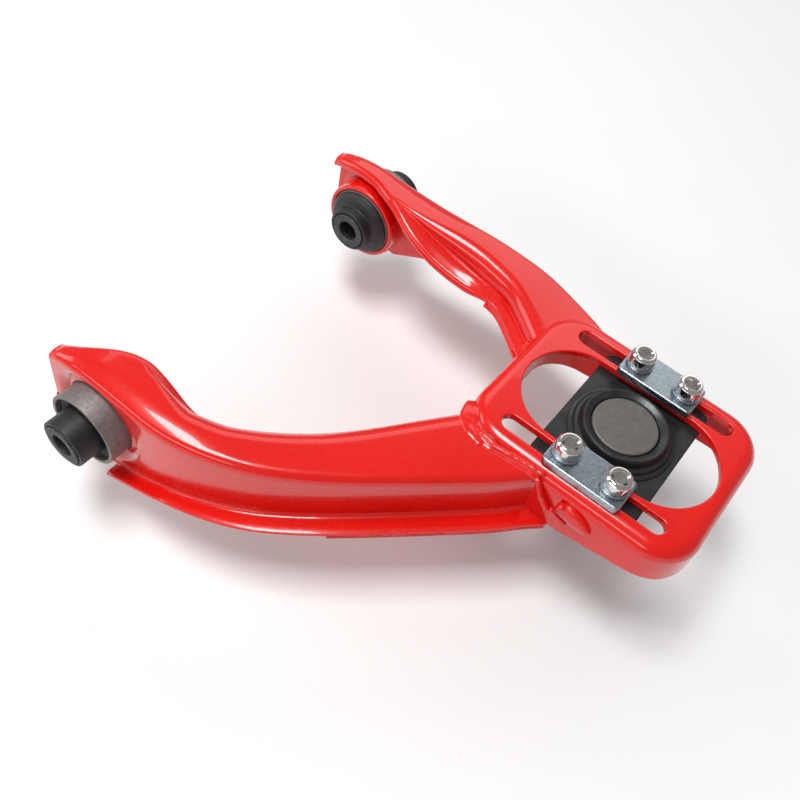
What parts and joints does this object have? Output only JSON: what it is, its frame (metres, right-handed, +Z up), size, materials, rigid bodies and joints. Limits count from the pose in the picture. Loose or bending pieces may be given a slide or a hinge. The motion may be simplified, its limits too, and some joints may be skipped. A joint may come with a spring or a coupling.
{
  "type": "adjustable upper control arm",
  "caption": "Adjustable upper suspension control arm: two pressed arms with rubber bushes, welded to a slotted tray that clamps a sliding ball joint.",
  "frame": {"origin": "middle of the pivot axis through both bushes", "axes": "+X from the pivot axis towards the ball joint, +Y along the pivot axis towards the short arm's bush, +Z up, square to the top of the tray"},
  "size_m": [0.2885, 0.261, 0.1018],
  "materials": {
    "red_coat": "gloss powder coat",
    "bare_steel": "matte machined",
    "dark_steel": "matte",
    "stud_steel": "satin machined",
    "bush_rubber": "satin",
    "boot_rubber": "matte",
    "black_oxide": "satin black oxide",
    "grey_disc": "matte phosphate",
    "zinc_plate": "bright zinc plate",
    "bright_chrome": "polished",
    "seat_polymer": "satin"
  },
  "bodies": {
    "arm_frame": {"long_arm_pressing": "red_coat", "short_arm_pressing": "red_coat", "long_arm_closing_plate": "red_coat", "short_arm_closing_plate": "red_coat", "ball_joint_tray": "red_coat", "skirt_gusset_tab": "red_coat", "long_arm_bush_outer_sleeve": "bare_steel", "long_arm_bush_rubber": "bush_rubber", "short_arm_bush_outer_sleeve": "bare_steel", "short_arm_bush_rubber": "bush_rubber"},
    "long_arm_bush_core": {"long_arm_bush_inner_sleeve": "dark_steel"},
    "short_arm_bush_core": {"short_arm_bush_inner_sleeve": "dark_steel"},
    "joint_carriage": {"ball_joint_housing": "black_oxide", "joint_cover_disc": "grey_disc", "preload_spring_washer": "dark_steel", "upper_ball_seat": "seat_polymer", "lower_ball_seat": "seat_polymer", "boot_upper_ring": "stud_steel", "near_clamp_plate": "zinc_plate", "far_clamp_plate": "zinc_plate", "near_inboard_cap_screw": "bright_chrome", "near_outboard_cap_screw": "bright_chrome", "far_inboard_cap_screw": "bright_chrome", "far_outboard_cap_screw": "bright_chrome", "near_inboard_lock_washer": "zinc_plate", "near_outboard_lock_washer": "zinc_plate", "far_inboard_lock_washer": "zinc_plate", "far_outboard_lock_washer": "zinc_plate"},
    "boot_bellows": {"dust_boot": "boot_rubber"},
    "boot_foot": {"boot_lower_ring": "stud_steel"},
    "stud": {"ball_stud": "stud_steel", "castle_nut": "zinc_plate", "cotter_pin": "zinc_plate"}
  },
  "joints": [
    {"name": "long_arm_bush_twist", "type": "hinge", "parent": "arm_frame", "child": "long_arm_bush_core", "pos_m": [0, -0.1035, 0], "axis": [0, 1, 0], "range_deg": [-25, 25], "stiffness_Nm_per_rad": 15},
    {"name": "short_arm_bush_twist", "type": "hinge", "parent": "arm_frame", "child": "short_arm_bush_core", "pos_m": [0, 0.1035, 0], "axis": [0, 1, 0], "range_deg": [-25, 25], "stiffness_Nm_per_rad": 15},
    {"name": "camber_slide", "type": "slide", "parent": "arm_frame", "child": "joint_carriage", "axis": [1, 0, 0], "range_m": [-0.024, 0.018]},
    {"name": "stud_tilt_sideways", "type": "hinge", "parent": "joint_carriage", "child": "boot_bellows", "pos_m": [0.1974, 0.048, 0.0125], "axis": [1, 0, 0], "range_deg": [-20, 20], "deforming": ["dust_boot"]},
    {"name": "stud_tilt_inout", "type": "hinge", "parent": "boot_bellows", "child": "boot_foot", "pos_m": [0.1974, 0.048, 0.0125], "axis": [0, 1, 0], "range_deg": [-20, 20]},
    {"name": "stud_spin", "type": "hinge", "parent": "boot_foot", "child": "stud", "pos_m": [0.1974, 0.048, 0.0125], "axis": [0, 0, 1], "continuous": true}
  ]
}
